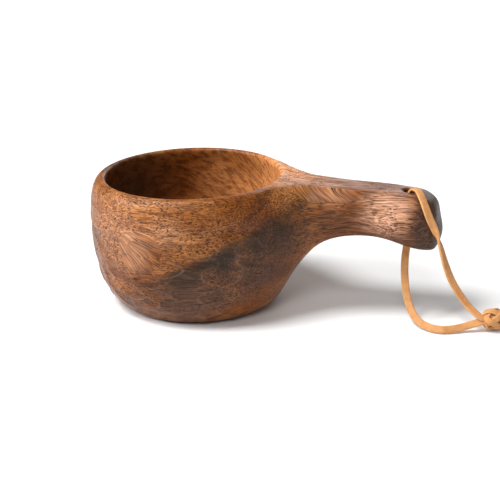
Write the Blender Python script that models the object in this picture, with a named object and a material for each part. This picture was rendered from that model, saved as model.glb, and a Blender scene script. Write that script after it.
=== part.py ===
"""Kuksa: a drinking cup carved from one block of wood, with a leather thong through its handle.

Frame: metres, +Z up. The origin is the centre of the bowl's flat base, and the handle points along +X.
The body is a cage of quads whose subdivision surface passes through the section points below.
"""

import math

import bmesh
import bpy
import numpy as np
from mathutils import Matrix, Vector

MM = 0.001

# Bowl: (radius, height) in millimetres, from the rim of the flat base up the outside,
# over the lip and down the inside.
FLAT_BASE = ((29.5, 0.0), (33.6, 0.0))
BOWL_OUTSIDE = ((37.3, 2.2), (41.2, 7.4), (44.7, 16.0), (47.0, 32.0), (46.8, 46.5), (45.2, 55.2))
BOWL_LIP = ((42.4, 59.2),)
BOWL_INSIDE = ((39.6, 58.6), (40.4, 51.0), (41.2, 37.0), (37.8, 20.5), (28.0, 11.0), (16.0, 8.0))
BOWL_FLOOR = 7.5
LIP_RISE = 0.6  # how much higher the lip is at the handle than across from it, each way from the middle
BOWL_LEAN = 1.2  # how far the lip's centre stands back from the base's, away from the handle
COLUMNS = 16
COLUMN_SPREAD = math.radians(10.0)  # the columns open out towards the handle, so that its root is wide
HANDLE_LOWEST_ROW = 2  # rows of BOWL_OUTSIDE that the handle grows from
HANDLE_HIGHEST_ROW = 5
ROOT_TOP_RISE = 3.6  # lifts the highest of them to the lip's height, and
ROOT_FOOT_OUT = 1.6  # pushes the lowest one out, where the handle's underside runs into the bowl

# Handle stations: (x, half width, top, bottom) in millimetres.
HANDLE = (
    (51.0, 17.8, 58.9, 23.2),
    (58.0, 15.8, 58.5, 30.4),
    (66.5, 14.4, 58.0, 34.2),
    (76.0, 13.6, 57.7, 35.6),
    (86.5, 13.9, 57.3, 35.0),
    (96.5, 14.7, 56.4, 32.2),
    (104.2, 13.4, 55.2, 30.6),
    (109.0, 10.6, 51.6, 31.2),
)
HANDLE_TIP = ((2 / 3, 111.2), (1 / 3, 112.0))  # two points down the end's middle: (share of its height, x)
TOP_CORNERS = (0.94, 0.87)  # height share of a section's top corners: nearly flat at the root, rounder at the tip
# The rest of a handle section: (share of half width, share of half height), from the near side to the far one.
SECTION_SIDES = (
    (-1.0, 0.28), (-0.98, -0.32), (-0.64, -0.84), (0.0, -1.0), (0.64, -0.84), (0.98, -0.32), (1.0, 0.28),
)
HOLE_X = 97.0
HOLE_RADIUS = 2.75
HOLE_SIDES = 24
HOLE_MIDDLE = 46.0
HOLE_CUT_LENGTH = 60.0  # well past the wood at both ends

CAGE_FIT_ROUNDS = 40
BODY_LEVELS = 2

# Leather thong: a flat lace 3 mm wide, held here as a round core, through the hole and into one knot.
THONG_CORE_RADIUS = 1.0
ON_TABLE = 0.1  # room under what lies on the table
KNOT_RADIUS = 5.0
KNOT_HALF_LENGTH = 5.8
KNOT_HEADING = math.radians(25.0)
KNOT_CENTRE = Vector((136.7, -15.5, KNOT_RADIUS + ON_TABLE))
KNOT_SIDES, KNOT_RINGS = 16, 10
TAIL_LENGTH = 12.0
TAIL_START = 1.6  # each tail's distance from the knot's axis as it leaves the knot, and where it ends
TAIL_END = 6.0
UPPER_ROUTE = (
    (97.0, 0.0, 46.6), (97.0, 0.0, 51.0), (97.3, -0.4, 54.9), (98.8, -1.6, 57.7), (100.8, -3.6, 57.9),
    (102.8, -8.0, 56.8), (105.0, -11.7, 53.4), (107.2, -13.1, 48.6), (109.6, -12.7, 43.2),
    (112.0, -12.4, 36.8), (114.6, -12.8, 28.5), (117.6, -13.2, 21.0), (121.8, -14.0, 14.4),
    (126.3, -15.4, 9.4), (130.9, -17.6, 6.5),
)
LOWER_ROUTE = (
    (97.0, 0.0, 46.2), (97.0, 0.0, 39.0), (96.7, -0.4, 32.0), (96.2, -1.9, 25.5), (96.6, -4.8, 18.0),
    (98.2, -9.2, 10.8), (101.1, -14.4, 5.2), (105.4, -19.4, 2.4), (110.3, -22.8, 1.8), (115.1, -23.7, 1.7),
    (119.8, -22.2, 1.8), (124.4, -20.2, 2.4), (128.0, -19.0, 3.4), (130.9, -18.3, 4.2),
)
THONG_POINT_SPACING = 2.4
CURVE_STEPS = 24  # fine steps between two points of a route

WOOD_COLOUR = (0.235, 0.098, 0.038)
WOOD_ROUGHNESS = 0.42
LEATHER_COLOUR = (0.53, 0.27, 0.11)
LEATHER_ROUGHNESS = 0.62


def clear_scene():
    for obj in list(bpy.data.objects):
        bpy.data.objects.remove(obj)


def material(name, colour, roughness):
    made = bpy.data.materials.new(name)
    made.use_nodes = True
    shader = made.node_tree.nodes["Principled BSDF"]
    shader.inputs["Base Color"].default_value = (*colour, 1.0)
    shader.inputs["Roughness"].default_value = roughness
    shader.inputs["Metallic"].default_value = 0.0
    return made


def add_object(name, data, finish):
    obj = bpy.data.objects.new(name, data)
    if finish is not None:
        obj.data.materials.append(finish)
    bpy.context.scene.collection.objects.link(obj)
    return obj


# Body -------------------------------------------------------------------------------------------


def lip_height(height, angle):
    """The bowl stands level, and its lip rises a little towards the handle."""
    share = max(0.0, height / BOWL_LIP[0][1]) ** 4
    return height + LIP_RISE * share * math.cos(angle)


def ring(bm, radius, height):
    verts = []
    for column in range(COLUMNS):
        even = 2 * math.pi * column / COLUMNS
        angle = even + COLUMN_SPREAD * math.sin(even)
        lean = BOWL_LEAN * height / BOWL_LIP[0][1]
        place = (radius * math.cos(angle) - lean, radius * math.sin(angle), lip_height(height, angle))
        verts.append(bm.verts.new([c * MM for c in place]))
    return verts


def disc(bm, loop, height, upward):
    """Closes a ring with a grid of quads, four by four."""
    side = COLUMNS // 4
    radius = (loop[0].co - loop[COLUMNS // 2].co).length / 2 / MM
    grid = {}
    for index, vert in enumerate(loop):
        step = (index + side // 2) % COLUMNS
        edge, along = divmod(step, side)
        cell = ((side, along), (side - along, side), (0, side - along), (along, 0))[edge]
        grid[cell] = vert
    for i in range(1, side):
        for j in range(1, side):
            x, y = (2 * i / side - 1), (2 * j / side - 1)
            place = (radius * x * math.sqrt(1 - y * y / 2), radius * y * math.sqrt(1 - x * x / 2), height)
            grid[i, j] = bm.verts.new([c * MM for c in place])
    for i in range(side):
        for j in range(side):
            corners = [grid[i, j], grid[i + 1, j], grid[i + 1, j + 1], grid[i, j + 1]]
            bm.faces.new(corners if upward else corners[::-1])
    return [grid[i, j] for i in range(1, side) for j in range(1, side)]


def strip(bm, lower, upper):
    """Quads between two closed loops of the same length."""
    count = len(lower)
    for k in range(count):
        bm.faces.new((lower[k], lower[(k + 1) % count], upper[(k + 1) % count], upper[k]))


def grow_handle(bm, rows):
    """Opens the bowl's side over two columns and carries the opening out along the handle's stations.

    Returns the points at the sides of the root, which are to be faired.
    """
    near, middle, far = COLUMNS - 1, 0, 1
    lowest, highest = rows[HANDLE_LOWEST_ROW], rows[HANDLE_HIGHEST_ROW]
    between = rows[HANDLE_LOWEST_ROW + 1:HANDLE_HIGHEST_ROW]
    loop = [highest[far], highest[middle], highest[near]]
    loop += [row[near] for row in reversed(between)]
    loop += [lowest[near], lowest[middle], lowest[far]]
    loop += [row[far] for row in between]
    bmesh.ops.delete(bm, geom=[row[middle] for row in between], context="VERTS")
    top, foot, sides = loop[:3], loop[5:8], loop[3:5] + loop[8:]
    for vert in top:
        vert.co.z += ROOT_TOP_RISE * MM
    for vert in foot:
        vert.co.x += ROOT_FOOT_OUT * MM

    for (x, half_width, high, low), corner in zip(HANDLE, np.linspace(*TOP_CORNERS, len(HANDLE))):
        centre, half_height = (high + low) / 2, (high - low) / 2
        section = ((0.70, corner), (0.0, 1.0), (-0.70, corner), *SECTION_SIDES)
        station = [
            bm.verts.new((x * MM, y * half_width * MM, (centre + z * half_height) * MM)) for y, z in section
        ]
        strip(bm, station, loop)
        loop = station

    # The last station closes with two points in the middle of the end.
    _, _, high, low = HANDLE[-1]
    middle_column = [loop[1]]
    for share, x in HANDLE_TIP:
        height = low + share * (high - low)
        middle_column.append(bm.verts.new((x * MM, 0, height * MM)))
    middle_column.append(loop[6])
    far_column = [loop[0], loop[9], loop[8], loop[7]]
    near_column = loop[2:6]
    for k in range(3):
        bm.faces.new((middle_column[k], middle_column[k + 1], far_column[k + 1], far_column[k]))
        bm.faces.new((near_column[k], near_column[k + 1], middle_column[k + 1], middle_column[k]))
    return set(sides)


def surface_point(vert):
    """Where the subdivision surface of a mesh of quads passes for this corner of the cage."""
    count = len(vert.link_edges)
    beside = sum((edge.other_vert(vert).co for edge in vert.link_edges), Vector())
    across = sum((loop.link_loop_next.link_loop_next.vert.co for loop in vert.link_loops), Vector())
    return (count * count * vert.co + 4 * beside + across) / (count * (count + 5))


def middle_of_neighbours(vert):
    return sum((edge.other_vert(vert).co for edge in vert.link_edges), Vector()) / len(vert.link_edges)


def fit_cage(bm, held, faired):
    """Moves the cage until its surface passes through the points it was built on.

    The held points stay, and each faired point settles midway between its neighbours.
    """
    wanted = {vert: vert.co.copy() for vert in bm.verts if vert not in held | faired}
    for _ in range(CAGE_FIT_ROUNDS):
        places = {vert: vert.co + point - surface_point(vert) for vert, point in wanted.items()}
        places.update((vert, middle_of_neighbours(vert)) for vert in faired)
        for vert, place in places.items():
            vert.co = place


def body_mesh():
    bm = bmesh.new()
    base = [ring(bm, radius, height) for radius, height in FLAT_BASE]
    rows = [ring(bm, radius, height) for radius, height in BOWL_OUTSIDE + BOWL_LIP + BOWL_INSIDE]
    held = set(disc(bm, base[0], 0.0, upward=False)) | set(base[0]) | set(base[1])
    disc(bm, rows[-1], BOWL_FLOOR, upward=True)
    loops = base + rows
    for lower, upper in zip(loops, loops[1:]):
        strip(bm, lower, upper)
    faired = grow_handle(bm, rows)
    bmesh.ops.recalc_face_normals(bm, faces=bm.faces)
    fit_cage(bm, held, faired)
    mesh = bpy.data.meshes.new("cup_body")
    bm.to_mesh(mesh)
    bm.free()
    mesh.shade_smooth()
    return mesh


def hole_cutter():
    bm = bmesh.new()
    radius = HOLE_RADIUS * MM
    bmesh.ops.create_cone(
        bm, cap_ends=True, segments=HOLE_SIDES, radius1=radius, radius2=radius, depth=HOLE_CUT_LENGTH * MM
    )
    mesh = bpy.data.meshes.new("thong_hole")
    bm.to_mesh(mesh)
    bm.free()
    cutter = add_object("thong_hole", mesh, None)
    cutter.location = (HOLE_X * MM, 0, HOLE_MIDDLE * MM)
    cutter.hide_render = True
    cutter.display_type = "WIRE"
    return cutter


def build_body():
    body = add_object("cup_body", body_mesh(), material("oiled_wood", WOOD_COLOUR, WOOD_ROUGHNESS))
    smooth = body.modifiers.new("carved_surface", "SUBSURF")
    smooth.levels = BODY_LEVELS
    smooth.render_levels = BODY_LEVELS
    drill = body.modifiers.new("drill", "BOOLEAN")
    drill.operation = "DIFFERENCE"
    drill.solver = "EXACT"
    drill.object = hole_cutter()
    return body


# Thong ------------------------------------------------------------------------------------------


def smooth_curve(points, spacing):
    """A centripetal Catmull-Rom curve through the points, read at even steps of about the spacing."""
    knots = [np.array(point, float) for point in points]
    knots = [2 * knots[0] - knots[1], *knots, 2 * knots[-1] - knots[-2]]
    fine = []
    for a, b, c, d in zip(knots, knots[1:], knots[2:], knots[3:]):
        t0 = 0.0
        t1 = t0 + math.sqrt(np.linalg.norm(b - a))
        t2 = t1 + math.sqrt(np.linalg.norm(c - b))
        t3 = t2 + math.sqrt(np.linalg.norm(d - c))
        for t in np.linspace(t1, t2, CURVE_STEPS, endpoint=False):
            ab = (t1 - t) / (t1 - t0) * a + (t - t0) / (t1 - t0) * b
            bc = (t2 - t) / (t2 - t1) * b + (t - t1) / (t2 - t1) * c
            cd = (t3 - t) / (t3 - t2) * c + (t - t2) / (t3 - t2) * d
            abc = (t2 - t) / (t2 - t0) * ab + (t - t0) / (t2 - t0) * bc
            bcd = (t3 - t) / (t3 - t1) * bc + (t - t1) / (t3 - t1) * cd
            fine.append((t2 - t) / (t2 - t1) * abc + (t - t1) / (t2 - t1) * bcd)
    fine.append(knots[-2])
    fine = np.array(fine)
    along = np.concatenate([[0], np.cumsum(np.linalg.norm(np.diff(fine, axis=0), axis=1))])
    steps = np.linspace(0, along[-1], max(2, round(along[-1] / spacing)) + 1)
    return np.stack([np.interp(steps, along, fine[:, axis]) for axis in range(3)], axis=1)


def lace(name, points, finish):
    curve = bpy.data.curves.new(name, "CURVE")
    curve.dimensions = "3D"
    curve.bevel_depth = THONG_CORE_RADIUS * MM
    curve.bevel_resolution = 2
    curve.use_fill_caps = True
    spline = curve.splines.new("POLY")
    spline.points.add(len(points) - 1)
    for slot, point in zip(spline.points, points):
        slot.co = (*(point * MM), 1.0)
    return add_object(name, curve, finish)


def build_knot(finish):
    bm = bmesh.new()
    bmesh.ops.create_uvsphere(bm, u_segments=KNOT_SIDES, v_segments=KNOT_RINGS, radius=1.0)
    stretch = Matrix.Diagonal((KNOT_RADIUS * MM, KNOT_RADIUS * MM, KNOT_HALF_LENGTH * MM, 1.0))
    bmesh.ops.transform(bm, matrix=stretch, verts=bm.verts)
    mesh = bpy.data.meshes.new("thong_knot")
    bm.to_mesh(mesh)
    bm.free()
    mesh.shade_smooth()
    knot = add_object("thong_knot", mesh, finish)
    knot.location = KNOT_CENTRE * MM
    knot.rotation_euler = (0, math.pi / 2, KNOT_HEADING)


def build_tails(finish):
    """Two short ends that leave the far side of the knot and come down to lie on the table."""
    ahead = Vector((math.cos(KNOT_HEADING), math.sin(KNOT_HEADING), 0))
    aside = Vector((-ahead.y, ahead.x, 0))
    start_height, end_height = KNOT_CENTRE.z, THONG_CORE_RADIUS + ON_TABLE
    for name, side in (("thong_tail_left", 1), ("thong_tail_right", -1)):
        route = []
        for share in (0.0, 0.25, 0.55, 1.0):
            out = KNOT_HALF_LENGTH + ON_TABLE + share * TAIL_LENGTH
            across = side * (TAIL_START + (TAIL_END - TAIL_START) * share ** 1.3)
            drop = (1 + math.cos(math.pi * min(1.0, share / 0.7))) / 2
            place = KNOT_CENTRE + ahead * out + aside * across
            place.z = end_height + (start_height - end_height) * drop
            route.append(place)
        lace(name, smooth_curve(route, THONG_POINT_SPACING), finish)


def build_thong():
    finish = material("tan_leather", LEATHER_COLOUR, LEATHER_ROUGHNESS)
    lace("thong_upper_strand", smooth_curve(UPPER_ROUTE, THONG_POINT_SPACING), finish)
    lace("thong_lower_strand", smooth_curve(LOWER_ROUTE, THONG_POINT_SPACING), finish)
    build_knot(finish)
    build_tails(finish)


def main():
    clear_scene()
    build_body()
    build_thong()


main()
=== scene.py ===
"""Looks of the kuksa: carved and oiled wood body, flat leather thong with its woven knot.

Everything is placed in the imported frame: metres, +Z up, the origin at the centre of the bowl's base.
Sizes named below are in millimetres, and MM turns them into metres.
"""

import math

import bmesh
import bpy
import numpy as np
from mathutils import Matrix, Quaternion, Vector


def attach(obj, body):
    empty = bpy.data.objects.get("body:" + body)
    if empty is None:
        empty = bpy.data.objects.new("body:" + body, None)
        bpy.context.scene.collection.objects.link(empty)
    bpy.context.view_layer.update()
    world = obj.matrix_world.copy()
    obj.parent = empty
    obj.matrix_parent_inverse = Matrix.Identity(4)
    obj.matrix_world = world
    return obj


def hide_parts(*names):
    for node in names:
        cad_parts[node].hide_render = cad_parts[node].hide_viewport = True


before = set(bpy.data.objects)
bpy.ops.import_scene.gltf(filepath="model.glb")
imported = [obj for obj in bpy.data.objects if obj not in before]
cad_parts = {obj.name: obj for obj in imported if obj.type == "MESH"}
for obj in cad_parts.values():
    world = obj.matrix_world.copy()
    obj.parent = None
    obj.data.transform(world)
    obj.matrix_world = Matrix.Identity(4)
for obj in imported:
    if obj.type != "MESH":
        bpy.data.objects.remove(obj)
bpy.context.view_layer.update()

MM = 0.001

# Camera: it stands on a circle round the bowl and looks a little to the right of it.
CAMERA_ELEVATION = math.radians(19.4)
CAMERA_AZIMUTH = math.radians(15.0)
CAMERA_DISTANCE = 600.0
BOWL_MIDDLE = Vector((0.0, 0.0, 30.0))
CAMERA_AIM = Vector((24.4, 3.2, 22.6))
CAMERA_ROLL = math.radians(-0.63)
CAMERA_LENS = 93.74
CAMERA_SENSOR = 36.0

# Softboxes: (name, direction from the cup, distance, diameter, power), in metres and watts.
LIGHT_TARGET = Vector((0.03, 0.0, 0.03))
SOFTBOXES = (
    ("key", (-0.40, -0.26, 1.0), 2.2, 0.85, 42.0),
    ("left", (-0.88, -0.32, 0.55), 2.2, 1.0, 34.0),
    ("front", (0.05, -0.70, 0.75), 2.2, 0.8, 10.0),
    ("backdrop", (0.1, 1.0, 0.35), 2.4, 1.6, 12.0),
)
WORLD_COLOUR = (1.0, 0.99, 0.98, 1.0)
WORLD_STRENGTH = 0.22
# The floor, in metres: it lies just below the cup's base.
FLOOR_HALF_SIDE = 4.0
FLOOR_DROP = 0.0002
FLOOR_COLOUR = (0.9, 0.9, 0.9, 1.0)
FLOOR_ROUGHNESS = 0.7

# The thong's routes, as the CAD has them with one more point into the knot, and which way the
# lace's outer face points at each of those points.
UPPER_ROUTE = (
    (97.0, 0.0, 46.6), (97.0, 0.0, 51.0), (97.3, -0.4, 54.9), (98.8, -1.6, 57.7), (100.8, -3.6, 57.9),
    (102.8, -8.0, 56.8), (105.0, -11.7, 53.4), (107.2, -13.1, 48.6), (109.6, -12.7, 43.2),
    (112.0, -12.4, 36.8), (114.6, -12.8, 28.5), (117.6, -13.2, 21.0), (121.8, -14.0, 14.4),
    (126.3, -15.4, 9.4), (130.9, -17.6, 6.5), (133.2, -17.2, 5.6),
)
UPPER_FACES = (
    (-0.75, 0.66, 0.0), (-0.75, 0.66, 0.1), (-0.5, 0.4, 0.8), (0.0, 0.0, 1.0), (0.2, -0.2, 0.95),
    (0.3, -0.35, 0.88), (0.45, -0.62, 0.62), (0.4, -0.87, 0.3), (-0.3, -0.9, 0.2),
    (-0.98, 0.15, -0.1), (-0.75, 0.6, -0.3), (-0.5, 0.75, -0.45), (-0.4, 0.7, -0.6),
    (-0.35, 0.6, -0.7), (-0.3, 0.5, -0.8), (-0.3, 0.5, -0.8),
)
LOWER_ROUTE = (
    (97.0, 0.0, 46.2), (97.0, 0.0, 39.0), (96.7, -0.4, 32.0), (96.2, -1.9, 25.5), (96.6, -4.8, 18.0),
    (98.2, -9.2, 10.8), (101.1, -14.4, 5.2), (105.4, -19.4, 2.4), (110.3, -22.8, 1.8), (115.1, -23.7, 1.7),
    (119.8, -22.2, 1.8), (124.4, -20.2, 2.4), (128.0, -19.0, 3.4), (130.9, -18.3, 4.2), (133.2, -17.4, 4.8),
)
LOWER_FACES = (
    (0.1, -1.0, 0.0), (0.1, -1.0, 0.0), (0.1, -1.0, 0.0), (0.1, -1.0, 0.1), (0.05, -0.9, 0.35),
    (0.0, -0.8, 0.5), (-0.15, -0.75, 0.6), (-0.1, -0.7, 0.7), (0.0, -0.75, 0.68), (0.1, -0.75, 0.67),
    (0.15, -0.72, 0.7), (0.2, -0.7, 0.7), (0.2, -0.7, 0.7), (0.2, -0.7, 0.7), (0.2, -0.7, 0.7),
)
LACE_WIDTH = 3.4
LACE_THICKNESS = 1.3
LACE_STEP = 0.5
LACE_CORNER = 0.42  # radius of the lace's edges, as a share of its thickness
CURVE_STEPS = 24  # fine steps between two points of a route

# The knot is an ellipsoid on the table, woven from one narrower lace round a core.
KNOT_RADIUS = 5.0
KNOT_HALF_LENGTH = 5.8
KNOT_HEADING = math.radians(25.0)
ON_TABLE = 0.1
KNOT_CENTRE = Vector((136.7, -15.5, KNOT_RADIUS + ON_TABLE))
KNOT_LEADS = 3  # turns round the axis
KNOT_BIGHTS = 4  # scallops at each end
KNOT_LACE_WIDTH = 2.7
KNOT_LACE_THICKNESS = 1.0
KNOT_WEAVE = 0.5  # how far the lace rises and dips where it crosses itself
KNOT_REACH = math.radians(57.0)  # how far from the middle the scallops reach
KNOT_STEPS = 260
KNOT_CORE_DEPTH = 0.9  # of the lace's thickness, under the lace's middle
KNOT_LUMP = 0.03
TAIL_LENGTH = 12.0
TAIL_START = 1.6  # each tail's distance from the knot's axis as it leaves the knot, and where it ends
TAIL_END = 6.0
TAIL_SHARES = (-0.25, 0.0, 0.25, 0.55, 1.0)  # points along a tail, the first one inside the knot
TAIL_LANDS = 0.7  # share of its length at which a tail lies on the table
TAIL_CURVE = 1.3  # the tails part slowly at first

# Body cage, as in the CAD: (radius, height) of the bowl, then (x, half width, top, bottom) along the handle.
FLAT_BASE = ((29.5, 0.0), (33.6, 0.0))
BOWL_OUTSIDE = ((37.3, 2.2), (41.2, 7.4), (44.7, 16.0), (47.0, 32.0), (46.8, 46.5), (45.2, 55.2))
BOWL_LIP = ((42.4, 59.2),)
BOWL_INSIDE = ((39.6, 58.6), (40.4, 51.0), (41.2, 37.0), (37.8, 20.5), (28.0, 11.0), (16.0, 8.0))
BOWL_FLOOR = 7.5
LIP_RISE = 0.6  # how far the lip rises towards the handle, and falls on the far side
BOWL_LEAN = 1.2  # how far the lip sits back from the base
COLUMNS = 16
COLUMN_SPREAD = math.radians(10.0)
HANDLE_LOWEST_ROW = 2
HANDLE_HIGHEST_ROW = 5
ROOT_TOP_RISE = 3.6
ROOT_FOOT_OUT = 1.6
HANDLE = (
    (51.0, 17.8, 58.9, 23.2),
    (58.0, 15.8, 58.5, 30.4),
    (66.5, 14.4, 58.0, 34.2),
    (76.0, 13.6, 57.7, 35.6),
    (86.5, 13.9, 57.3, 35.0),
    (96.5, 14.7, 56.4, 32.2),
    (104.2, 13.4, 55.2, 30.6),
    (109.0, 10.6, 51.6, 31.2),
)
HANDLE_TIP = ((2 / 3, 111.2), (1 / 3, 112.0))
TOP_CORNERS = (0.94, 0.87)
SECTION_SIDES = (
    (-1.0, 0.28), (-0.98, -0.32), (-0.64, -0.84), (0.0, -1.0), (0.64, -0.84), (0.98, -0.32), (1.0, 0.28),
)
HOLE_X = 97.0
HOLE_RADIUS = 2.75
HOLE_TOP = 56.4
HOLE_BOTTOM = 32.2
HOLE_ROUNDING = 0.7
HOLE_ROUNDING_STEPS = 5
HOLE_FLARE = 1.3  # how wide the cutter is past the wood, in roundings beyond the hole
HOLE_SIDES = 32
HOLE_CUTTER_PAST = 8.0  # how far the cutter goes past the wood at each end
CAGE_FIT_ROUNDS = 40
BODY_LEVELS = 3

# Gouge cuts on the outside of the bowl: overlapping oval dishes in staggered rows.
SCOOP_SEED = 11
SCOOP_ROWS = 7
SCOOPS_IN_ROW = 19
SCOOP_LOWEST, SCOOP_HIGHEST = 3.0, 46.0
SCOOP_STRAY_ALONG = 0.3  # of the distance between two cuts in a row
SCOOP_STRAY_UP = 1.8
SCOOP_HALF_LENGTH = (8.0, 11.0)
SCOOP_HALF_HEIGHT = (3.7, 5.2)
SCOOP_DEPTH = (0.35, 0.75)
SCOOP_FLOOR = 0.15  # depth at a cut's edge
SCOOP_EDGE = (1.0, 0.84)  # shares of a cut's size between which it reaches its own depth
SCOOP_TILT = math.radians(20.0)
RIDGE_PLACE = 0.97  # share of a cut's size where its ridge runs
RIDGE_HALF_WIDTH = 0.21
RIDGE_CLEARED = (1.0, 0.94)  # a later cut wipes out earlier ridges between these shares of its size
SCOOPED_HEIGHTS = ((50.0, 45.0), (0.6, 3.0))  # cuts fade out below the lip, and above the base
UNCUT_ROOT = (math.radians(30.0), math.radians(48.0))  # they fade in this far round from the handle
UNCUT_RADIUS = (51.0, 48.5)  # and out past the bowl's own side
SCOOPED_SLOPE = (0.05, 0.5)  # and where the surface does not face outwards
SEEN_SCOOP = 0.01  # the mesh is made finer where more than this share of a cut, or of a ridge, shows
SEEN_RIDGE = 0.12


# Camera, floor and light ------------------------------------------------------------------------


def add_camera():
    data = bpy.data.cameras.new("camera")
    data.lens = CAMERA_LENS
    data.sensor_width = CAMERA_SENSOR
    camera = bpy.data.objects.new("camera", data)
    bpy.context.scene.collection.objects.link(camera)
    out = Vector((
        math.sin(CAMERA_AZIMUTH) * math.cos(CAMERA_ELEVATION),
        -math.cos(CAMERA_AZIMUTH) * math.cos(CAMERA_ELEVATION),
        math.sin(CAMERA_ELEVATION),
    ))
    camera.location = (BOWL_MIDDLE + out * CAMERA_DISTANCE) * MM
    aim = (CAMERA_AIM * MM - camera.location).to_track_quat("-Z", "Y")
    camera.rotation_mode = "QUATERNION"
    camera.rotation_quaternion = aim @ Quaternion((0, 0, 1), CAMERA_ROLL)
    bpy.context.scene.camera = camera


def add_softbox(name, place, target, size, power):
    data = bpy.data.lights.new(name, "AREA")
    data.shape = "DISK"
    data.size = size
    data.energy = power
    light = bpy.data.objects.new(name, data)
    light.location = place
    light.rotation_euler = (target - place).to_track_quat("-Z", "Y").to_euler()
    bpy.context.scene.collection.objects.link(light)


def add_studio():
    scene = bpy.context.scene
    scene.view_settings.view_transform = "Standard"
    world = bpy.data.worlds.new("studio")
    world.use_nodes = True
    world.node_tree.nodes["Background"].inputs["Color"].default_value = WORLD_COLOUR
    world.node_tree.nodes["Background"].inputs["Strength"].default_value = WORLD_STRENGTH
    scene.world = world

    mesh = bpy.data.meshes.new("floor")
    side = FLOOR_HALF_SIDE
    corners = [(-side, -side, 0), (side, -side, 0), (side, side, 0), (-side, side, 0)]
    mesh.from_pydata(corners, [], [(0, 1, 2, 3)])
    floor = bpy.data.objects.new("floor", mesh)
    floor.location.z = -FLOOR_DROP
    finish = bpy.data.materials.new("floor")
    finish.use_nodes = True
    shader = finish.node_tree.nodes["Principled BSDF"]
    shader.inputs["Base Color"].default_value = FLOOR_COLOUR
    shader.inputs["Roughness"].default_value = FLOOR_ROUGHNESS
    mesh.materials.append(finish)
    scene.collection.objects.link(floor)

    for name, toward, distance, size, power in SOFTBOXES:
        add_softbox(name, Vector(toward).normalized() * distance, LIGHT_TARGET, size, power)


# Mesh helpers -----------------------------------------------------------------------------------


def add_mesh_object(name, mesh, finish):
    obj = bpy.data.objects.new(name, mesh)
    mesh.materials.append(finish)
    bpy.context.scene.collection.objects.link(obj)
    return obj


def smooth_curve(points, spacing):
    """A centripetal Catmull-Rom curve through the points, read at even steps of about the spacing."""
    knots = [np.array(point, float) for point in points]
    knots = [2 * knots[0] - knots[1], *knots, 2 * knots[-1] - knots[-2]]
    fine = []
    for a, b, c, d in zip(knots, knots[1:], knots[2:], knots[3:]):
        t0 = 0.0
        t1 = t0 + math.sqrt(np.linalg.norm(b[:3] - a[:3]))
        t2 = t1 + math.sqrt(np.linalg.norm(c[:3] - b[:3]))
        t3 = t2 + math.sqrt(np.linalg.norm(d[:3] - c[:3]))
        for t in np.linspace(t1, t2, CURVE_STEPS, endpoint=False):
            ab = (t1 - t) / (t1 - t0) * a + (t - t0) / (t1 - t0) * b
            bc = (t2 - t) / (t2 - t1) * b + (t - t1) / (t2 - t1) * c
            cd = (t3 - t) / (t3 - t2) * c + (t - t2) / (t3 - t2) * d
            abc = (t2 - t) / (t2 - t0) * ab + (t - t0) / (t2 - t0) * bc
            bcd = (t3 - t) / (t3 - t1) * bc + (t - t1) / (t3 - t1) * cd
            fine.append((t2 - t) / (t2 - t1) * abc + (t - t1) / (t2 - t1) * bcd)
    fine.append(knots[-2])
    fine = np.array(fine)
    along = np.concatenate([[0], np.cumsum(np.linalg.norm(np.diff(fine[:, :3], axis=0), axis=1))])
    steps = np.linspace(0, along[-1], max(2, round(along[-1] / spacing)) + 1)
    return np.stack([np.interp(steps, along, fine[:, axis]) for axis in range(fine.shape[1])], axis=1)


def unit(vectors):
    return vectors / np.linalg.norm(vectors, axis=-1, keepdims=True)


def lace_section(width, thickness):
    """Points round a flat section with rounded edges, in order: (across, out)."""
    half_width, half_thickness = width / 2, thickness / 2
    corner = LACE_CORNER * thickness
    section = []
    for side_x, side_y, start in ((1, 1, 0.0), (-1, 1, 0.5), (-1, -1, 1.0), (1, -1, 1.5)):
        for step in range(4):
            angle = math.pi * (start + step / 6)
            section.append((
                side_x * (half_width - corner) + corner * math.cos(angle),
                side_y * (half_thickness - corner) + corner * math.sin(angle),
            ))
        if side_x * side_y > 0:
            for share in (0.5, 0.0, -0.5):
                section.append((side_x * share * (half_width - corner) * 1.2, side_y * half_thickness))
    return np.array(section)


def sweep(bm, centres, outward, width, thickness, closed=False, edge_layer=None):
    """Sweeps the lace's section along the centres, with its outer face turned to the outward vectors."""
    centres = np.array(centres)
    if closed:
        tangents = unit(np.roll(centres, -1, axis=0) - np.roll(centres, 1, axis=0))
    else:
        tangents = unit(np.gradient(centres, axis=0))
    outward = np.array(outward)
    outward = unit(outward - tangents * np.sum(outward * tangents, axis=1, keepdims=True))
    across = np.cross(tangents, outward)
    section = lace_section(width, thickness)
    rings = []
    for centre, side, out in zip(centres, across, outward):
        ring_points = [bm.verts.new((centre + side * a + out * b) * MM) for a, b in section]
        if edge_layer is not None:
            for vert, (a, _) in zip(ring_points, section):
                vert[edge_layer] = abs(a) / (width / 2)
        rings.append(ring_points)
    count = len(section)
    last = len(rings) if closed else len(rings) - 1
    for i in range(last):
        low, high = rings[i], rings[(i + 1) % len(rings)]
        for k in range(count):
            bm.faces.new((low[k], low[(k + 1) % count], high[(k + 1) % count], high[k]))
    if not closed:
        bm.faces.new(rings[0][::-1])
        bm.faces.new(rings[-1])


def finished_mesh(bm, name):
    bmesh.ops.recalc_face_normals(bm, faces=bm.faces)
    mesh = bpy.data.meshes.new(name)
    bm.to_mesh(mesh)
    bm.free()
    mesh.shade_smooth()
    return mesh


def carved_from(cad_nodes, obj, body):
    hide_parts(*cad_nodes)
    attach(obj, body)


# Thong ------------------------------------------------------------------------------------------


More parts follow.
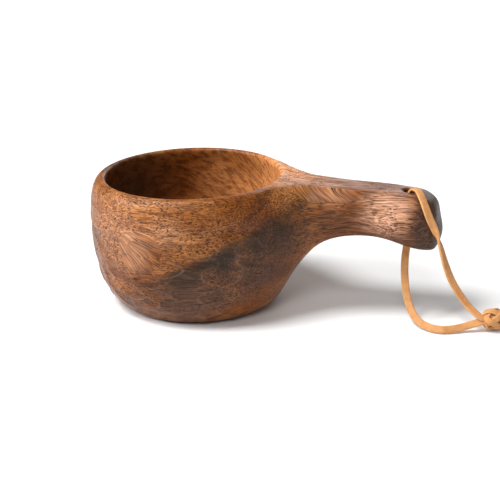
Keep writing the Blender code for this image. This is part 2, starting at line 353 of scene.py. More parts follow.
def add_flat_lace(node, name, places, faces, finish):
    """A run of flat lace in place of a CAD node. Returns the object and its centreline, in metres."""
    points = smooth_curve([(*place, *face) for place, face in zip(places, faces)], LACE_STEP)
    bm = bmesh.new()
    edge = bm.verts.layers.float.new("edge")
    sweep(bm, points[:, :3], points[:, 3:], LACE_WIDTH, LACE_THICKNESS, edge_layer=edge)
    lace = add_mesh_object(name, finished_mesh(bm, node), finish)
    carved_from([node], lace, "thong")
    return lace, points[:, :3] * MM


def knot_axes():
    ahead = Vector((math.cos(KNOT_HEADING), math.sin(KNOT_HEADING), 0))
    return ahead, Vector((-ahead.y, ahead.x, 0)), Vector((0, 0, 1))


def add_knot(finish):
    """A woven button: the lace goes three times round, and passes over and under itself at every crossing."""
    frame_axes = np.array([list(axis) for axis in knot_axes()])
    bm = bmesh.new()
    edge = bm.verts.layers.float.new("edge")
    skin = KNOT_LACE_THICKNESS / 2 + KNOT_WEAVE
    half_length, radius = KNOT_HALF_LENGTH - skin, KNOT_RADIUS - skin
    turn = np.linspace(0, 2 * math.pi, KNOT_STEPS, endpoint=False)
    round_axis = KNOT_LEADS * turn
    reach = KNOT_REACH * np.cos(KNOT_BIGHTS * turn)
    over = KNOT_WEAVE * np.sin(2 * KNOT_BIGHTS * turn)
    sideways = np.stack([np.zeros_like(turn), np.cos(round_axis), np.sin(round_axis)], axis=1)
    along = np.array([1.0, 0.0, 0.0])
    on_ellipse = np.sin(reach)[:, None] * half_length * along + np.cos(reach)[:, None] * radius * sideways
    normal = unit(np.sin(reach)[:, None] / half_length * along + np.cos(reach)[:, None] / radius * sideways)
    centres = (on_ellipse + over[:, None] * normal) @ frame_axes + np.array(KNOT_CENTRE)
    outward = normal @ frame_axes
    sweep(bm, centres, outward, KNOT_LACE_WIDTH, KNOT_LACE_THICKNESS, closed=True, edge_layer=edge)
    core = bmesh.ops.create_icosphere(bm, subdivisions=4, radius=1.0)["verts"]
    for vert in core:
        place = np.array(vert.co)
        lump = 1 + KNOT_LUMP * math.sin(7 * place[0] + 2) * math.sin(6 * place[1] + 1)
        inner = np.array([half_length, radius, radius]) - KNOT_LACE_THICKNESS * KNOT_CORE_DEPTH
        vert.co = ((place * inner * lump) @ frame_axes + np.array(KNOT_CENTRE)) * MM
        vert[edge] = 0.0
    knot = add_mesh_object("thong_knot_woven", finished_mesh(bm, "thong_knot_woven"), finish)
    carved_from(["thong_knot"], knot, "thong")
    return knot


def add_tails(finish):
    """The lace's two cut ends, which leave the far side of the knot and come down to lie on the table."""
    ahead, aside, _ = knot_axes()
    start_height, end_height = KNOT_CENTRE.z, LACE_THICKNESS / 2 + ON_TABLE
    made = []
    for name, side in (("thong_tail_left", 1), ("thong_tail_right", -1)):
        places, faces = [], []
        for share in TAIL_SHARES:
            out = KNOT_HALF_LENGTH + share * TAIL_LENGTH
            across = side * (TAIL_START + (TAIL_END - TAIL_START) * max(0.0, share) ** TAIL_CURVE)
            drop = (1 + math.cos(math.pi * min(1.0, max(0.0, share) / TAIL_LANDS))) / 2
            place = KNOT_CENTRE + ahead * out + aside * across
            place.z = end_height + (start_height - end_height) * drop
            places.append(place)
            faces.append((0.0, 0.5 * side * (1 - share), 1.0))
        made.append(add_flat_lace(name, name + "_lace", places, faces, finish)[0])
    return made


def add_thong(finish):
    upper_node, lower_node = "thong_upper_strand", "thong_lower_strand"
    upper, upper_path = add_flat_lace(upper_node, upper_node, UPPER_ROUTE, UPPER_FACES, finish)
    lower, lower_path = add_flat_lace(lower_node, lower_node, LOWER_ROUTE, LOWER_FACES, finish)
    knot = add_knot(finish)
    tails = add_tails(finish)


# Body -------------------------------------------------------------------------------------------


def lip_height(height, angle):
    share = max(0.0, height / BOWL_LIP[0][1]) ** 4
    return height + LIP_RISE * share * math.cos(angle)


def ring(bm, radius, height):
    verts = []
    for column in range(COLUMNS):
        even = 2 * math.pi * column / COLUMNS
        angle = even + COLUMN_SPREAD * math.sin(even)
        lean = BOWL_LEAN * height / BOWL_LIP[0][1]
        place = (radius * math.cos(angle) - lean, radius * math.sin(angle), lip_height(height, angle))
        verts.append(bm.verts.new([c * MM for c in place]))
    return verts


def disc(bm, loop, height, upward):
    """Closes a ring with a grid of quads, four by four."""
    side = COLUMNS // 4
    radius = (loop[0].co - loop[COLUMNS // 2].co).length / 2 / MM
    grid = {}
    for index, vert in enumerate(loop):
        step = (index + side // 2) % COLUMNS
        edge, along = divmod(step, side)
        cell = ((side, along), (side - along, side), (0, side - along), (along, 0))[edge]
        grid[cell] = vert
    for i in range(1, side):
        for j in range(1, side):
            x, y = (2 * i / side - 1), (2 * j / side - 1)
            place = (radius * x * math.sqrt(1 - y * y / 2), radius * y * math.sqrt(1 - x * x / 2), height)
            grid[i, j] = bm.verts.new([c * MM for c in place])
    for i in range(side):
        for j in range(side):
            corners = [grid[i, j], grid[i + 1, j], grid[i + 1, j + 1], grid[i, j + 1]]
            bm.faces.new(corners if upward else corners[::-1])
    return [grid[i, j] for i in range(1, side) for j in range(1, side)]


def strip(bm, lower, upper):
    """Quads between two loops of the same length."""
    count = len(lower)
    for k in range(count):
        bm.faces.new((lower[k], lower[(k + 1) % count], upper[(k + 1) % count], upper[k]))


def grow_handle(bm, rows):
    """Opens the bowl's side over two columns and carries the opening out along the handle's stations."""
    near, middle, far = COLUMNS - 1, 0, 1
    lowest, highest = rows[HANDLE_LOWEST_ROW], rows[HANDLE_HIGHEST_ROW]
    between = rows[HANDLE_LOWEST_ROW + 1:HANDLE_HIGHEST_ROW]
    loop = [highest[far], highest[middle], highest[near]]
    loop += [row[near] for row in reversed(between)]
    loop += [lowest[near], lowest[middle], lowest[far]]
    loop += [row[far] for row in between]
    bmesh.ops.delete(bm, geom=[row[middle] for row in between], context="VERTS")
    top, foot, sides = loop[:3], loop[5:8], loop[3:5] + loop[8:]
    for vert in top:
        vert.co.z += ROOT_TOP_RISE * MM
    for vert in foot:
        vert.co.x += ROOT_FOOT_OUT * MM

    for (x, half_width, high, low), corner in zip(HANDLE, np.linspace(*TOP_CORNERS, len(HANDLE))):
        centre, half_height = (high + low) / 2, (high - low) / 2
        section = ((0.70, corner), (0.0, 1.0), (-0.70, corner), *SECTION_SIDES)
        station = [
            bm.verts.new((x * MM, y * half_width * MM, (centre + z * half_height) * MM)) for y, z in section
        ]
        strip(bm, station, loop)
        loop = station

    _, _, high, low = HANDLE[-1]
    middle_column = [loop[1]]
    for share, x in HANDLE_TIP:
        height = low + share * (high - low)
        middle_column.append(bm.verts.new((x * MM, 0, height * MM)))
    middle_column.append(loop[6])
    far_column = [loop[0], loop[9], loop[8], loop[7]]
    near_column = loop[2:6]
    for k in range(3):
        bm.faces.new((middle_column[k], middle_column[k + 1], far_column[k + 1], far_column[k]))
        bm.faces.new((near_column[k], near_column[k + 1], middle_column[k + 1], middle_column[k]))
    return set(sides)


def surface_point(vert):
    """Where the subdivision surface of a mesh of quads passes for this corner of the cage."""
    count = len(vert.link_edges)
    beside = sum((edge.other_vert(vert).co for edge in vert.link_edges), Vector())
    across = sum((loop.link_loop_next.link_loop_next.vert.co for loop in vert.link_loops), Vector())
    return (count * count * vert.co + 4 * beside + across) / (count * (count + 5))


def middle_of_neighbours(vert):
    return sum((edge.other_vert(vert).co for edge in vert.link_edges), Vector()) / len(vert.link_edges)


def fit_cage(bm, held, faired):
    """Moves the cage until its surface passes through the points it was built on."""
    wanted = {vert: vert.co.copy() for vert in bm.verts if vert not in held | faired}
    for _ in range(CAGE_FIT_ROUNDS):
        places = {vert: vert.co + point - surface_point(vert) for vert, point in wanted.items()}
        places.update((vert, middle_of_neighbours(vert)) for vert in faired)
        for vert, place in places.items():
            vert.co = place


def cage_mesh():
    bm = bmesh.new()
    base = [ring(bm, radius, height) for radius, height in FLAT_BASE]
    rows = [ring(bm, radius, height) for radius, height in BOWL_OUTSIDE + BOWL_LIP + BOWL_INSIDE]
    held = set(disc(bm, base[0], 0.0, upward=False)) | set(base[0]) | set(base[1])
    disc(bm, rows[-1], BOWL_FLOOR, upward=True)
    loops = base + rows
    for lower, upper in zip(loops, loops[1:]):
        strip(bm, lower, upper)
    faired = grow_handle(bm, rows)
    bmesh.ops.recalc_face_normals(bm, faces=bm.faces)
    fit_cage(bm, held, faired)
    return finished_mesh(bm, "cup_cage")


def applied(obj):
    """The object's mesh with its modifiers applied."""
    graph = bpy.context.evaluated_depsgraph_get()
    graph.update()
    mesh = bpy.data.meshes.new_from_object(obj.evaluated_get(graph))
    obj.modifiers.clear()
    return mesh


def smoothstep(low, high, value):
    share = np.clip((value - low) / (high - low), 0, 1)
    return share * share * (3 - 2 * share)


def read_points(mesh, name):
    values = np.zeros(len(mesh.vertices) * 3)
    mesh.vertices.foreach_get(name, values)
    return values.reshape(-1, 3)


def make_scoops():
    """Every gouge cut: (turn round the bowl, height, half length, half height, depth, tilt, tone)."""
    random = np.random.default_rng(SCOOP_SEED)
    scoops = []
    for row, height in enumerate(np.linspace(SCOOP_LOWEST, SCOOP_HIGHEST, SCOOP_ROWS)):
        for cut in range(SCOOPS_IN_ROW):
            step = cut + 0.5 * (row % 2) + random.uniform(-SCOOP_STRAY_ALONG, SCOOP_STRAY_ALONG)
            scoops.append((
                2 * math.pi * step / SCOOPS_IN_ROW,
                height + random.uniform(-SCOOP_STRAY_UP, SCOOP_STRAY_UP),
                random.uniform(*SCOOP_HALF_LENGTH),
                random.uniform(*SCOOP_HALF_HEIGHT),
                random.uniform(*SCOOP_DEPTH),
                random.uniform(-SCOOP_TILT, SCOOP_TILT),
                random.uniform(0, 1),
            ))
    random.shuffle(scoops)
    return scoops


def scoops_shown(mesh):
    """The share of the cuts that shows at each point: none at the base, lip or handle's root."""
    places, normals = read_points(mesh, "co") / MM, read_points(mesh, "normal")
    x, y, z = off_lean(places), places[:, 1], places[:, 2]
    angle = np.arctan2(y, x)
    facing_out = normals[:, 0] * np.cos(angle) + normals[:, 1] * np.sin(angle)
    shown = smoothstep(*SCOOPED_SLOPE, facing_out)
    for fade in SCOOPED_HEIGHTS:
        shown *= smoothstep(*fade, z)
    shown *= smoothstep(*UNCUT_ROOT, np.abs(angle))
    return shown * smoothstep(*UNCUT_RADIUS, np.hypot(x, y))


def off_lean(places):
    """The points' x with the bowl's lean taken out."""
    return places[:, 0] + BOWL_LEAN * places[:, 2] / BOWL_LIP[0][1]


def scoop_field(mesh, scoops):
    """At each point: how deep the cuts go, how much of a ridge it is, and its cut's tone."""
    places = read_points(mesh, "co") / MM
    z = places[:, 2]
    angle = np.arctan2(places[:, 1], off_lean(places))
    depth, ridge, tone = np.zeros(len(z)), np.zeros(len(z)), np.full(len(z), 0.5)
    for turn, middle, half_length, half_height, deepest, tilt, shade in scoops:
        across = (np.mod(angle - turn + math.pi, 2 * math.pi) - math.pi) * BOWL_OUTSIDE[3][0]
        up = z - middle
        u = (across * math.cos(tilt) + up * math.sin(tilt)) / half_length
        v = (up * math.cos(tilt) - across * math.sin(tilt)) / half_height
        out = np.hypot(u, v)
        dish = SCOOP_FLOOR + deepest * np.clip(1 - out * out, 0, 1)
        depth += smoothstep(*SCOOP_EDGE, out) * (dish - depth)
        tone = np.where(out < RIDGE_PLACE, shade, tone)
        # Each ridge gets a line of painted highlight, clearest on its lower edge, where the ridge faces up
        # towards the light.
        line = np.exp(-(((out - RIDGE_PLACE) * half_height / RIDGE_HALF_WIDTH) ** 2))
        line *= (0.35 + 0.65 * shade) * (0.4 + 0.6 * smoothstep(0.3, -0.6, v))  # clearest on the lower edge
        ridge = np.maximum(ridge * (1 - smoothstep(*RIDGE_CLEARED, out)), line)
    shown = scoops_shown(mesh)
    return depth * shown, ridge * shown, 0.5 + (tone - 0.5) * shown


def refine(mesh, wanted):
    """Splits in half the edges of the faces that have a wanted point, and leaves the surface as it is."""
    chosen = [face.index for face in mesh.polygons if any(wanted[vertex] for vertex in face.vertices)]
    bm = bmesh.new()
    bm.from_mesh(mesh)
    bm.faces.ensure_lookup_table()
    edges = {edge for index in chosen for edge in bm.faces[index].edges}
    edges = sorted(edges, key=lambda edge: edge.index)
    bmesh.ops.subdivide_edges(bm, edges=edges, cuts=1, use_grid_fill=True)
    bm.to_mesh(mesh)
    bm.free()


def carve_scoops(mesh):
    """Presses overlapping gouge cuts into the outside of the bowl, and marks the ridges between them."""
    scoops = make_scoops()
    refine(mesh, scoops_shown(mesh) > SEEN_SCOOP)
    _, ridge, _ = scoop_field(mesh, scoops)
    refine(mesh, ridge > SEEN_RIDGE)
    depth, ridge, tone = scoop_field(mesh, scoops)
    places = read_points(mesh, "co") - read_points(mesh, "normal") * depth[:, None] * MM
    mesh.vertices.foreach_set("co", places.ravel())
    for name, values in (("ridge", ridge), ("tone", tone)):
        attribute = mesh.attributes.new(name, "FLOAT", "POINT")
        attribute.data.foreach_set("value", values.astype(np.float32))
    mesh.update()


def hole_cutter():
    """A round bar that flares out where it leaves the wood, so that the hole's edges come out rounded."""
    profile = []
    for level, side in ((HOLE_BOTTOM, -1), (HOLE_TOP, 1)):
        flare = []
        for step in range(HOLE_ROUNDING_STEPS + 1):
            angle = math.pi / 2 * step / HOLE_ROUNDING_STEPS
            out = HOLE_RADIUS + HOLE_ROUNDING * (1 - math.cos(angle))
            flare.append((out, level - side * HOLE_ROUNDING * (1 - math.sin(angle))))
        flare.append((HOLE_RADIUS + HOLE_ROUNDING * HOLE_FLARE, level + side * HOLE_CUTTER_PAST))
        profile += flare[::-1] if side < 0 else flare
    bm = bmesh.new()
    rings = []
    for radius, height in profile:
        rings.append([
            bm.verts.new((
                (HOLE_X + radius * math.cos(2 * math.pi * k / HOLE_SIDES)) * MM,
                radius * math.sin(2 * math.pi * k / HOLE_SIDES) * MM,
                height * MM,
            ))
            for k in range(HOLE_SIDES)
        ])
    for lower, upper in zip(rings, rings[1:]):
        strip(bm, lower, upper)
    bm.faces.new(rings[0][::-1])
    bm.faces.new(rings[-1])
    cutter = bpy.data.objects.new("hole_cutter", finished_mesh(bm, "hole_cutter"))
    bpy.context.scene.collection.objects.link(cutter)
    return cutter


def add_body(finish):
    body = bpy.data.objects.new("cup_body_carved", cage_mesh())
    bpy.context.scene.collection.objects.link(body)
    smooth = body.modifiers.new("surface", "SUBSURF")
    smooth.levels = smooth.render_levels = BODY_LEVELS
    body.data = applied(body)
    carve_scoops(body.data)
    cutter = hole_cutter()
    drill = body.modifiers.new("drill", "BOOLEAN")
    drill.operation = "DIFFERENCE"
    drill.solver = "EXACT"
    drill.object = cutter
    body.data = applied(body)
    bpy.data.objects.remove(cutter)
    body.data.materials.clear()
    body.data.materials.append(finish)
    body.data.shade_smooth()
    carved_from(["cup_body"], body, "cup")
    return body


# Materials --------------------------------------------------------------------------------------


class Shading:
    """A material's node tree, with short calls for the nodes used here."""

    def __init__(self, name):
        self.material = bpy.data.materials.new(name)
        self.material.use_nodes = True
        self.tree = self.material.node_tree
        self.shader = self.tree.nodes["Principled BSDF"]

    def node(self, kind, inputs=None, **settings):
        made = self.tree.nodes.new("ShaderNode" + kind)
        for key, value in settings.items():
            setattr(made, key, value)
        for key, value in (inputs or {}).items():
            self.put(made.inputs[key], value)
        return made

    def put(self, socket, value):
        if isinstance(value, bpy.types.NodeSocket):
            self.tree.links.new(value, socket)
        else:
            socket.default_value = value

    def math(self, operation, first, second=0.0, clamp=False):
        made = self.node("Math", {0: first, 1: second}, operation=operation, use_clamp=clamp)
        return made.outputs[0]

    def plus(self, first, second):
        return self.math("ADD", first, second)

    def times(self, first, second):
        return self.math("MULTIPLY", first, second)

    def rest(self, share):
        return self.math("SUBTRACT", 1.0, share)

    def parts(self, place):
        return self.node("SeparateXYZ", {0: place}).outputs

    def attribute(self, name):
        return self.node("Attribute", attribute_name=name).outputs["Fac"]

    def vector(self, operation, first, second=(0.0, 0.0, 0.0), scale=None):
        made = self.node("VectorMath", {0: first, 1: second}, operation=operation)
        if scale is not None:
            self.put(made.inputs["Scale"], scale)
        return made.outputs["Value" if operation in ("DOT_PRODUCT", "LENGTH") else "Vector"]

    def span(self, value, low, high, to_low=0.0, to_high=1.0):
        inputs = {"Value": value, "From Min": low, "From Max": high, "To Min": to_low, "To Max": to_high}
        return self.node("MapRange", inputs, interpolation_type="SMOOTHSTEP").outputs["Result"]

    def noise(self, place, scale, detail=2.0, roughness=0.5, which=None):
        """A noise node. Points with a different `which` read different noise at the same place."""
        inputs = {"Vector": place, "Scale": scale, "Detail": detail, "Roughness": roughness}
        if which is None:
            return self.node("TexNoise", inputs)
        return self.node("TexNoise", {**inputs, "W": which}, noise_dimensions="4D")

    def drawn_out(self, place, fineness, detail=2.0, roughness=0.5, which=None):
        """A noise with its own fineness along each of x, y and z."""
        place = self.vector("MULTIPLY", place, fineness)
        return self.noise(place, 1.0, detail, roughness, which).outputs["Fac"]

    def mix(self, share, first, second, blend="MIX"):
        made = self.node("Mix", data_type="RGBA", blend_type=blend)
        self.put(made.inputs[0], share)
        self.put(made.inputs[6], first)
        self.put(made.inputs[7], second)
        return made.outputs[2]

    def blend_vectors(self, share, first, second):
        made = self.node("Mix", data_type="VECTOR")
        self.put(made.inputs[0], share)
        self.put(made.inputs[4], first)
        self.put(made.inputs[5], second)
        return made.outputs[1]

    def colours(self, share, *stops):
        made = self.node("ValToRGB", {"Fac": share})
        ramp = made.color_ramp
        while len(ramp.elements) < len(stops):
            ramp.elements.new(0.5)
        for element, (position, colour) in zip(ramp.elements, stops):
            element.position = position
            element.color = (*colour, 1.0)
        return made.outputs["Color"]


# Pale wood; it also paints a highlight on the handle's crest.
PALE_WOOD_AND_PAINTED_HIGHLIGHT = (0.56, 0.255, 0.115)
# Pinkish wood, which also stands for a painted highlight on the bowl's upper left.
BLUSH_WOOD_AND_PAINTED_HIGHLIGHT = (0.66, 0.340, 0.185)
# Gold wood; it also paints a highlight on the handle's crest near the bowl.
GOLD_WOOD_AND_PAINTED_HIGHLIGHT = (0.50, 0.205, 0.060)
TAN_WOOD = (0.38, 0.135, 0.030)
ORANGE_WOOD = (0.30, 0.090, 0.014)
BROWN_WOOD = (0.17, 0.056, 0.013)
UMBER_WOOD = (0.135, 0.055, 0.026)
# Dark heartwood; it also paints the shade on the inner wall on the left.
DARK_WOOD_AND_PAINTED_SHADE = (0.050, 0.026, 0.012)
# End grain; where the tip turns away from the light it is also painted shade.
END_GRAIN_AND_PAINTED_SHADE = (0.085, 0.048, 0.032)
# Inside wood with painted light: it brightens the inner wall that the light falls on.
INNER_WOOD_AND_PAINTED_LIGHT = (0.98, 0.420, 0.150)
# A painted highlight, over somewhat paler wood, for the bulge near the handle's tip.
PAINTED_BULGE_HIGHLIGHT = (0.80, 0.430, 0.265)
PORE_COLOUR = (0.020, 0.008, 0.003)
# A painted highlight along the ridges between the gouge cuts.
PAINTED_RIDGE_HIGHLIGHT = (0.40, 0.26, 0.17)
# Patches of paler or darker wood, among them painted highlights on the handle's crest and bulge and on the
# bowl's upper left, painted light on the lit inner wall and painted shade on the inner wall on the left:
# (centre, radius in millimetres, share, colour).
PATCHES = (
    ((-25.0, -40.0, 42.0), 20.0, 0.75, PALE_WOOD_AND_PAINTED_HIGHLIGHT),
    # Pinkish wood with a painted highlight on the bowl's upper left.
    ((-16.0, -44.0, 37.0), 10.0, 0.55, BLUSH_WOOD_AND_PAINTED_HIGHLIGHT),
    ((-2.0, -46.0, 46.0), 9.0, 0.45, BLUSH_WOOD_AND_PAINTED_HIGHLIGHT),
    # Painted light on the lit inner wall on the right, and on the back inner wall.
    ((37.0, 14.0, 40.0), 38.0, 1.00, INNER_WOOD_AND_PAINTED_LIGHT),
    ((4.0, 42.0, 40.0), 20.0, 0.45, INNER_WOOD_AND_PAINTED_LIGHT),
    # Painted shade on the inner wall on the left.
    ((-34.0, 14.0, 42.0), 34.0, 0.80, DARK_WOOD_AND_PAINTED_SHADE),
    ((33.0, -29.0, 10.0), 16.0, 0.85, ORANGE_WOOD),
    # Painted highlight on the handle's crest near the bowl.
    ((48.0, -18.0, 58.0), 13.0, 1.00, GOLD_WOOD_AND_PAINTED_HIGHLIGHT),
    ((70.0, -14.0, 40.0), 18.0, 0.55, BROWN_WOOD),
    # Painted highlight along the handle's crest.
    ((64.0, -12.0, 58.0), 10.0, 0.90, PALE_WOOD_AND_PAINTED_HIGHLIGHT),
    # Painted highlight on the bulge near the handle's tip.
    ((89.0, -14.0, 50.0), 14.0, 1.00, PAINTED_BULGE_HIGHLIGHT),
)
PATCH_RAGGED = 8.0
# The broad colour's stops: (value of the zone noise, colour).
ZONE_COLOURS = ((0.34, BROWN_WOOD), (0.48, ORANGE_WOOD), (0.61, TAN_WOOD), (0.78, GOLD_WOOD_AND_PAINTED_HIGHLIGHT))
# Colours that multiply the wood's own: in dark streaks, and between fine threads.
STREAK_TINT = (0.36, 0.26, 0.22, 1.0)
THREAD_TINT = (1.5, 1.55, 1.6, 1.0)
# Waves that bend the grain: (waves per millimetre, how far they shift it).
SLOW_WAVE = (1 / 42, 24.0)
QUICK_WAVE = (1 / 8, 1.6)
FINE_GRAIN_SHIFT = 0.4  # share of the slow wave that the fine grain follows
# How fine each noise is along x, y and z, per millimetre. A small x draws it out along the fibres.
RING_NOISE = (0.03, 0.09, 0.09)
ZONES = (0.014, 0.034, 0.034)
BLOTCHES = (0.04, 0.08, 0.08)
CROWDS = (0.05, 0.10, 0.10)
STROKES = (0.045, 0.60, 0.60)
THREADS = (0.045, 1.9, 1.9)
LONG_PORES = (0.07, 2.4, 2.4)
SHORT_PORES = (0.85, 1.8, 1.8)
GRAIN_JUMP = 2.4  # how different the grain is from one gouge cut to the next
# Growth rings round a pith that lies below and behind the cup.
PITH = (0.0, 46.0, -74.0)
RING_SHAPE = (0.06, 1.0, 1.0)
RING_TURN = 0.9  # radians per millimetre
RING_WOBBLE = 9.0
# Dark heartwood, a slab. Its tilt's cosine and sine, where it levels off, and its edges.
HEART_TILT = (0.857, 0.515)
HEART_LEVEL = 48.0
HEART_TOP = (26.0, 19.0)
HEART_BOTTOM = (-14.0, -2.0)
HEART_BLOTCH = 16.0
HEART_DEPTH = (11.0, 27.0)
# The darker end grain is partly painted shade, where the tip turns away from the light.
END_FADE = (100.0, 107.0)  # where the end grain of the handle's tip starts
# Places where the fibres surface in a fan: (the point it spreads from, its middle, radius,
# stretch along the cup).
FANS = (
    ((-33.0, -44.0, 50.0), (-14.0, -45.0, 36.0), 12.0, 1.25),
    ((30.0, -12.0, 74.0), (64.0, -12.0, 57.0), 5.5, 4.0),
)
FAN_RAGGED = 6.0
FAN_EDGE = 0.4
WALL_RADII = (40.8, 42.2)  # the inside's looks end and the outside's start
# Flames inside the bowl: where they start round the wall and in height, and how they spread.
INNER_RADIUS = 40.0
FLAME_START = (8.0, 16.0)
FLAME_SPREAD = 26.0
FLAME_FINENESS = (0.17, 1.25)
FLAMED_RADII = (20.0, 34.0)  # the floor's middle has none
INSIDE_SOFTENING = 0.65


class OiledWood(Shading):
    """The cup's wood. Places are in millimetres. What several layers read is kept as attributes."""

    def __init__(self):
        super().__init__("oiled_wood")
        self.mm = self.vector("SCALE", self.node("TexCoord").outputs["Object"], scale=1 / MM)
        self.off_tone = self.math("SUBTRACT", self.attribute("tone"), 0.5)
        self.shift = self.wave(*SLOW_WAVE)
        self.ripple = self.wave(*QUICK_WAVE)
        self.wavy = self.vector("ADD", self.vector("ADD", self.mm, self.shift), self.ripple)
        wavy_parts = self.parts(self.wavy)
        self.along, self.height = wavy_parts["X"], wavy_parts["Z"]
        self.ring_noise = self.drawn_out(self.wavy, RING_NOISE)
        self.crowd = self.drawn_out(self.wavy, CROWDS)
        self.upright = self.vector("ADD", self.mm, (BOWL_LEAN / 2, 0.0, 0.0))
        self.from_axis = self.vector("LENGTH", self.vector("MULTIPLY", self.upright, (1.0, 1.0, 0.0)))
        self.outside = self.span(self.from_axis, *WALL_RADII)

    def wave(self, fineness, reach):
        """A slow noise that shifts a place by up to half of `reach` each way."""
        colour = self.noise(self.mm, fineness, 1.0).outputs["Color"]
        return self.vector("SCALE", self.vector("SUBTRACT", colour, (0.5, 0.5, 0.5)), scale=reach)

    def patch_share(self, centre, radius, ragged=PATCH_RAGGED, stretch=1.0):
        """How near a point is to a patch's centre, with a ragged edge."""
        gap = self.vector("SUBTRACT", self.mm, centre)
        gap = self.vector("LENGTH", self.vector("MULTIPLY", gap, (1 / stretch, 1.0, 1.0)))
        gap = self.plus(gap, self.times(self.ring_noise, ragged))
        return self.span(gap, radius + 0.9 * ragged, 0.35 * radius + 0.2 * ragged)

    def zones(self):
        """Broad colour: brown to orange to gold, drawn out along the fibres, with the patches on it, among
        them painted highlights, painted light and painted shade.
        """
        off_pith = self.vector("MULTIPLY", self.vector("SUBTRACT", self.wavy, PITH), RING_SHAPE)
        turn = self.times(self.vector("LENGTH", off_pith), RING_TURN)
        ring = self.math("SINE", self.plus(turn, self.times(self.ring_noise, RING_WOBBLE)))
        zone = self.drawn_out(self.wavy, ZONES, 3.0, 0.55)
        zone = self.plus(zone, self.times(ring, 0.04))
        zone = self.plus(zone, self.times(self.off_tone, 0.20))
        base = self.colours(zone, *ZONE_COLOURS)
        for centre, radius, share, colour in PATCHES:
            amount = self.times(self.patch_share(centre, radius), share)
            base = self.mix(amount, base, (*colour, 1.0))
        return base

    def heartwood(self, base):
        """Adds the dark slab that climbs from the foot of the bowl to the handle's root."""
        cosine, sine = HEART_TILT
        level = self.times(self.math("MINIMUM", self.along, HEART_LEVEL), sine)
        slab = self.math("SUBTRACT", self.times(self.height, cosine), level)
        blotch = self.drawn_out(self.wavy, BLOTCHES, 3.0)
        within = self.times(self.span(slab, *HEART_TOP), self.span(slab, *HEART_BOTTOM))
        # Weaker on the handle, on the far side and away from the handle's side.
        near = self.span(self.parts(self.mm)["Y"], 34.0, 0.0, 0.35, 1.0)
        strength = self.times(near, self.span(self.along, -22.0, 14.0, 0.40, 1.0))
        strength = self.times(self.span(self.along, 60.0, 42.0, 0.08, 1.0), strength)
        dark = self.times(self.times(within, strength), self.span(blotch, 0.25, 0.55, 0.55, 1.0))
        depth = self.span(self.plus(slab, self.times(blotch, HEART_BLOTCH)), *HEART_DEPTH)
        heart = self.colours(depth, (0.0, UMBER_WOOD), (1.0, DARK_WOOD_AND_PAINTED_SHADE))
        return self.mix(dark, base, heart), dark

    def end_grain_and_painted_shade(self, base):
        """Adds the darker end grain at the handle's tip, partly painted shade where the tip turns away from
        the light.
        """
        end = self.plus(self.parts(self.mm)["X"], self.times(self.ring_noise, 6.0))
        return self.mix(self.span(end, *END_FADE, 0.0, 0.85), base, (*END_GRAIN_AND_PAINTED_SHADE, 1.0))

    def fine_grain(self):
        """Where to read the fine grain, and which points lie in a fan. Elsewhere it runs along the cup."""
        followed = self.vector("SCALE", self.shift, scale=FINE_GRAIN_SHIFT)
        grain = self.vector("ADD", self.vector("ADD", self.mm, followed), self.ripple)
        all_fans = 0.0
        for apex, middle, reach, stretch in FANS:
            off = self.vector("SUBTRACT", grain, apex)
            turn = self.math("ARCTAN2", self.parts(off)["Z"], self.parts(off)["X"])
            out = self.vector("LENGTH", self.vector("MULTIPLY", off, (1.0, 0.0, 1.0)))
            across = self.times(turn, math.dist(apex, middle))
            fan = self.node("CombineXYZ", {"X": out, "Z": across}).outputs["Vector"]
            near = self.patch_share(middle, reach, FAN_RAGGED, stretch)
            in_fan = self.math("GREATER_THAN", near, FAN_EDGE)
            all_fans = self.math("MAXIMUM", all_fans, in_fan)
            grain = self.blend_vectors(in_fan, grain, fan)
        return grain, all_fans

    def flames(self):
        """Broad flames on the scraped inside, which spread from low on the handle's side."""
        flat = self.parts(self.upright)
        around = self.times(self.math("ARCTAN2", flat["Y"], flat["X"]), INNER_RADIUS)
        x = self.plus(around, -FLAME_START[0])
        z = self.plus(self.height, -FLAME_START[1])
        turn = self.times(self.math("ARCTAN2", z, x), FLAME_SPREAD)
        out = self.math("SQRT", self.plus(self.times(x, x), self.times(z, z)))
        out_fineness, turn_fineness = FLAME_FINENESS
        inputs = {"X": self.times(out, out_fineness), "Z": self.times(turn, turn_fineness)}
        place = self.node("CombineXYZ", inputs).outputs["Vector"]
        return self.span(self.noise(place, 1.0, 3.0, 0.6).outputs["Fac"], 0.46, 0.58, 0.0, 0.62)

    def streaks(self, base, grain, which):
        """Adds dark and pale streaks along the fibres, softer inside the bowl, and the flames there."""
        strokes = self.drawn_out(grain, STROKES, 2.0, 0.6, which)
        threads = self.drawn_out(grain, THREADS, 2.0, 0.6, which)
        shade = self.span(strokes, 0.36, 0.66, 0.0, 0.42)
        shade = self.plus(shade, self.span(threads, 0.40, 0.60, 0.0, 0.55))
        inner = self.times(self.rest(self.outside), self.span(self.from_axis, *FLAMED_RADII))
        shade = self.times(shade, self.rest(self.times(inner, INSIDE_SOFTENING)))
        shade = self.plus(shade, self.times(self.flames(), inner))
        base = self.mix(shade, base, self.mix(1.0, base, STREAK_TINT, "MULTIPLY"))
        pale = self.times(self.span(threads, 0.50, 0.36, 0.0, 0.35), self.outside)
        return self.mix(pale, base, self.mix(1.0, base, THREAD_TINT, "MULTIPLY")), threads

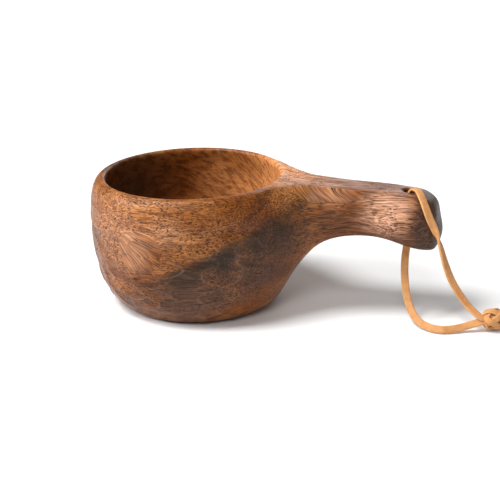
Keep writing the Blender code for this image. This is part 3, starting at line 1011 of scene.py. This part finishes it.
    def pores(self, grain, all_fans, which):
        """Short pores on parts of the bowl and long ones elsewhere, both faint inside."""
        long = self.drawn_out(grain, LONG_PORES, 1.0, 0.6, which)
        short = self.drawn_out(grain, SHORT_PORES, 1.0, 0.5, which)
        on_bowl = self.span(self.along, 62.0, 38.0, -0.3, 0.02)
        dotted = self.plus(self.plus(self.crowd, on_bowl), self.times(self.off_tone, 0.3))
        dotted = self.times(self.span(dotted, 0.46, 0.54), self.rest(all_fans))
        short = self.times(self.span(short, 0.52, 0.62), dotted)
        long = self.times(self.span(long, 0.52, 0.61), self.rest(dotted))
        return self.times(self.plus(short, long), self.plus(self.times(self.outside, 0.85), 0.15))

    def ridges(self, base, dark):
        """Adds a painted highlight along the ridges between the gouge cuts, which shows more on dark wood."""
        share = self.plus(self.times(dark, 0.16), 0.12)
        share = self.times(self.attribute("ridge"), share)
        return self.mix(share, base, (*PAINTED_RIDGE_HIGHLIGHT, 1.0))


def oiled_wood():
    """Oiled wood, from its broad colours down to its pores."""
    wood = OiledWood()
    base, dark = wood.heartwood(wood.zones())
    base = wood.end_grain_and_painted_shade(base)
    grain, all_fans = wood.fine_grain()
    which = wood.times(wood.off_tone, GRAIN_JUMP)
    base, threads = wood.streaks(base, grain, which)
    pores = wood.pores(grain, all_fans, which)
    base = wood.mix(wood.times(pores, 0.78), base, (*PORE_COLOUR, 1.0))
    wood.put(wood.shader.inputs["Base Color"], wood.ridges(base, dark))

    roughness = wood.plus(wood.span(wood.crowd, 0.3, 0.7, 0.30, 0.42), wood.times(pores, 0.25))
    wood.put(wood.shader.inputs["Roughness"], roughness)
    wood.put(wood.shader.inputs["Specular IOR Level"], 0.24)
    relief = wood.math("SUBTRACT", wood.times(threads, 0.25), pores)
    bump = wood.node("Bump", {"Height": relief, "Strength": 0.4, "Distance": 0.0002})
    wood.put(wood.shader.inputs["Normal"], bump.outputs["Normal"])
    return wood.material


LEATHER = (0.63, 0.30, 0.105)
LEATHER_SHADE = (0.50, 0.215, 0.070)
LEATHER_EDGE = (0.74, 0.42, 0.19)


def tan_leather():
    """Tan leather with paler cut edges, a fine pebbled grain and short fibres."""
    leather = Shading("tan_leather")
    place = leather.node("TexCoord").outputs["Object"]
    mm = leather.vector("SCALE", place, scale=1 / MM)
    mottle = leather.noise(mm, 0.35, 3.0).outputs["Fac"]
    cells = leather.node("TexVoronoi", {"Vector": mm, "Scale": 3.2}, feature="DISTANCE_TO_EDGE")
    grain = cells.outputs["Distance"]
    fibre = leather.noise(mm, 4.5, 3.0).outputs["Fac"]
    colour = leather.colours(mottle, (0.25, LEATHER_SHADE), (0.60, LEATHER))
    edge = leather.attribute("edge")
    colour = leather.mix(leather.span(edge, 0.86, 1.0, 0.0, 0.5), colour, (*LEATHER_EDGE, 1.0))
    speck = leather.span(fibre, 0.58, 0.72, 0.0, 0.35)
    colour = leather.mix(speck, colour, (*LEATHER_SHADE, 1.0))
    leather.put(leather.shader.inputs["Base Color"], colour)
    leather.put(leather.shader.inputs["Roughness"], leather.span(mottle, 0.3, 0.7, 0.5, 0.66))
    leather.put(leather.shader.inputs["Specular IOR Level"], 0.4)
    relief = leather.plus(leather.span(grain, 0.0, 0.18), leather.times(fibre, 0.7))
    bump = leather.node("Bump", {"Height": relief, "Strength": 0.4, "Distance": 0.0001})
    leather.put(leather.shader.inputs["Normal"], bump.outputs["Normal"])
    return leather.material


def main():
    add_camera()
    add_thong(tan_leather())
    add_body(oiled_wood())
    add_studio()


main()
